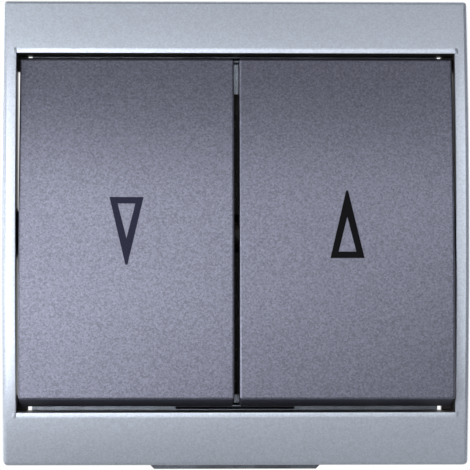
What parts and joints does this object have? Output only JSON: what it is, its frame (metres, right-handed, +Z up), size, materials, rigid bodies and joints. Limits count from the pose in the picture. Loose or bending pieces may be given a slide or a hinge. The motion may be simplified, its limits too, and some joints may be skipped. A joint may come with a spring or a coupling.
{
  "type": "roller shutter switch",
  "caption": "Square flush wall switch with two latching rockers for raising and lowering a roller shutter.",
  "frame": {"origin": "centre of the mounting plate's back face, midway between the two box screw slots, on the wall plane", "axes": "+Z up as mounted, +X to the right as seen from the front, the front faces -Y and the wall is on the +Y side"},
  "size_m": [0.08, 0.0361, 0.0812],
  "materials": {
    "silver_lacquer": "satin silver metallic lacquer on moulded plastic",
    "anthracite_lacquer": "fine metallic flake lacquer on moulded plastic",
    "slate_print": "pad print",
    "black_print": "pad print",
    "zinc_steel": "zinc plated sheet",
    "black_plastic": "moulded",
    "rivet_steel": "plated",
    "dark_thermoset": "moulded thermoset",
    "grey_cover": "moulded",
    "ivory_plastic": "moulded",
    "white_plastic": "moulded",
    "spring_steel": "drawn wire",
    "copper_alloy": "stamped",
    "contact_silver": "silver faced",
    "strip_brass": "stamped",
    "block_brass": "machined",
    "screw_steel": "plated"
  },
  "bodies": {
    "switch_base": {"cover_frame": "silver_lacquer", "mounting_plate": "zinc_steel", "left_catch": "black_plastic", "right_catch": "black_plastic", "plate_rivets": "rivet_steel", "housing_cap": "dark_thermoset", "housing": "dark_thermoset", "rear_cover": "grey_cover", "live_bar": "strip_brass", "link_bar": "strip_brass", "down_bar": "strip_brass", "up_bar": "strip_brass", "link_contact": "contact_silver", "down_contact": "contact_silver", "up_contact": "contact_silver", "live_terminal": "block_brass", "loop_terminal": "block_brass", "down_terminal": "block_brass", "up_terminal": "block_brass", "live_screw": "screw_steel", "loop_screw": "screw_steel", "down_screw": "screw_steel", "up_screw": "screw_steel"},
    "down_rocker_group": {"down_rocker": "anthracite_lacquer", "down_mark": "slate_print", "down_toggle": "ivory_plastic", "down_plunger": "white_plastic", "down_spring": "spring_steel"},
    "up_rocker_group": {"up_rocker": "anthracite_lacquer", "up_mark": "black_print", "up_toggle": "ivory_plastic", "up_plunger": "white_plastic", "up_spring": "spring_steel"},
    "down_lever_group": {"down_lever": "copper_alloy", "down_lever_contact": "contact_silver"},
    "up_lever_group": {"up_lever": "copper_alloy", "up_lever_contacts": "contact_silver"}
  },
  "joints": [
    {"name": "down_rocker_tilt", "type": "hinge", "parent": "switch_base", "child": "down_rocker_group", "pos_m": [-0.01, -0.004, 0], "axis": [1, 0, 0], "range_deg": [0, 8.4]},
    {"name": "up_rocker_tilt", "type": "hinge", "parent": "switch_base", "child": "up_rocker_group", "pos_m": [0.01, -0.004, 0], "axis": [1, 0, 0], "range_deg": [0, 8.4]},
    {"name": "down_lever_swing", "type": "hinge", "parent": "switch_base", "child": "down_lever_group", "pos_m": [-0.01, 0.0096, 0], "axis": [1, 0, 0], "range_deg": [-10, 0]},
    {"name": "up_lever_swing", "type": "hinge", "parent": "switch_base", "child": "up_lever_group", "pos_m": [0.01, 0.0096, 0], "axis": [1, 0, 0], "range_deg": [-10, 0]}
  ],
  "couplings": [
    {"joint": "down_lever_swing", "follows": "down_rocker_tilt", "ratio": -1.1905},
    {"joint": "up_lever_swing", "follows": "up_rocker_tilt", "ratio": -1.1905}
  ]
}
